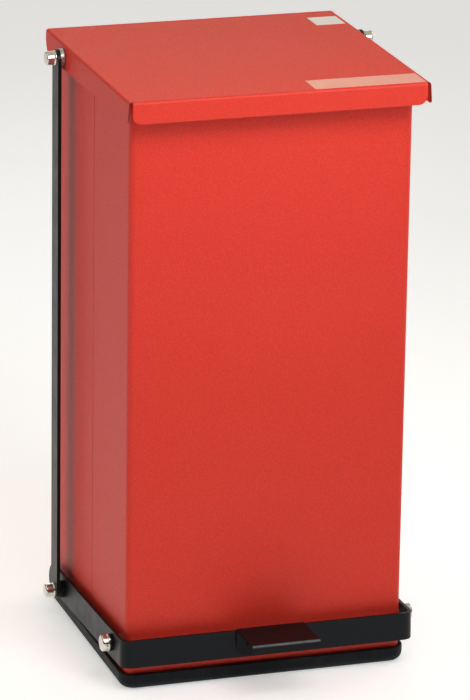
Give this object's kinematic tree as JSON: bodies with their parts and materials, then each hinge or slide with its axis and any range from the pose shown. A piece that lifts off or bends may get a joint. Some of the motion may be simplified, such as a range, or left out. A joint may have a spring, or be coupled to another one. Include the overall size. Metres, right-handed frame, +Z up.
{
  "type": "step-on oily waste can",
  "caption": "Square sheet-steel waste can with a foot pedal frame, side links that raise a hinged flanged lid, and a lift-out liner pail.",
  "frame": {"origin": "on the floor under the centre of the painted body, in the flat underside of the base boot", "axes": "+Z up, front with the foot tread towards -Y, +X to the right seen from the front"},
  "size_m": [0.4244, 0.4303, 0.7553],
  "materials": {
    "body_paint": "semi-gloss epoxy powder coat, fine orange peel",
    "lid_paint": "semi-gloss epoxy powder coat, fine orange peel",
    "pan_paint": "satin black",
    "boot_rubber": "moulded, satin",
    "zinc_steel": "zinc plated",
    "washer_steel": "satin plated",
    "cap_nickel": "bright nickel",
    "link_enamel": "gloss black enamel",
    "frame_enamel": "gloss black enamel",
    "tread_enamel": "gloss black enamel, rubbed along the front fold",
    "bumper_rubber": "soft, satin",
    "washer_nylon": "black nylon",
    "label_pink": "printed vinyl, satin",
    "sticker_white": "vinyl, satin",
    "liner_galvanised": "hot-dip galvanised, spangled",
    "handle_wire": "zinc plated wire"
  },
  "bodies": {
    "can": {"front_shell": "body_paint", "rear_shell": "body_paint", "seam_strips": "body_paint", "floor_pan": "pan_paint", "base_boot": "boot_rubber", "top_rim": "body_paint", "hinge_leaf_body": "body_paint", "hinge_pin": "zinc_steel", "hinge_rivets": "zinc_steel", "pivot_stud_left": "zinc_steel", "pivot_stud_right": "zinc_steel", "pivot_nuts": "zinc_steel", "pivot_spacers": "washer_steel", "pivot_washers": "washer_nylon", "pivot_cap_left": "cap_nickel", "pivot_cap_right": "cap_nickel"},
    "lid": {"lid_cover": "lid_paint", "hinge_leaf_lid": "lid_paint", "lid_bumpers": "bumper_rubber", "lid_label": "label_pink", "lid_sticker": "sticker_white", "lid_pin_left": "zinc_steel", "lid_pin_right": "zinc_steel", "lid_pin_spacers": "washer_steel", "lid_pin_cap_left": "cap_nickel", "lid_pin_cap_right": "cap_nickel"},
    "left_link": {"link_bar_left": "link_enamel", "link_pin_left": "zinc_steel", "link_spacer_left": "washer_nylon", "link_retainer_left": "washer_steel", "link_cap_left": "cap_nickel"},
    "right_link": {"link_bar_right": "link_enamel", "link_pin_right": "zinc_steel", "link_spacer_right": "washer_nylon", "link_retainer_right": "washer_steel", "link_cap_right": "cap_nickel"},
    "pedal_frame": {"pedal_bar": "frame_enamel", "tread_bracket": "tread_enamel", "tread_rivets": "tread_enamel"},
    "liner": {"liner_pail": "liner_galvanised", "handle_clips": "liner_galvanised"},
    "left_handle": {"liner_handle_left": "handle_wire"},
    "right_handle": {"liner_handle_right": "handle_wire"}
  },
  "joints": [
    {"name": "pedal_pivot", "type": "hinge", "parent": "can", "child": "pedal_frame", "pos_m": [0, -0.138, 0.0524], "axis": [1, 0, 0], "range_deg": [0, 18]},
    {"name": "lid_hinge", "type": "hinge", "parent": "can", "child": "lid", "pos_m": [0, 0.171, 0.75], "axis": [-1, 0, 0], "range_deg": [0, 50]},
    {"name": "left_link_pivot", "type": "hinge", "parent": "lid", "child": "left_link", "pos_m": [0, 0.0865, 0.739], "axis": [1, 0, 0], "range_deg": [0, 49]},
    {"name": "right_link_pivot", "type": "hinge", "parent": "lid", "child": "right_link", "pos_m": [0, 0.0865, 0.739], "axis": [1, 0, 0], "range_deg": [0, 49]},
    {"name": "liner_lift", "type": "slide", "parent": "can", "child": "liner", "axis": [0, 0, 1], "range_m": [0, 0.015]},
    {"name": "left_handle_swing", "type": "hinge", "parent": "liner", "child": "left_handle", "pos_m": [-0.153, 0, 0.688], "axis": [0, -1, 0], "range_deg": [0, 165]},
    {"name": "right_handle_swing", "type": "hinge", "parent": "liner", "child": "right_handle", "pos_m": [0.153, 0, 0.688], "axis": [0, 1, 0], "range_deg": [0, 165]}
  ],
  "couplings": [
    {"joint": "lid_hinge", "follows": "pedal_pivot", "ratio": 2.75},
    {"joint": "left_link_pivot", "follows": "pedal_pivot", "ratio": 2.655},
    {"joint": "right_link_pivot", "follows": "pedal_pivot", "ratio": 2.655}
  ]
}
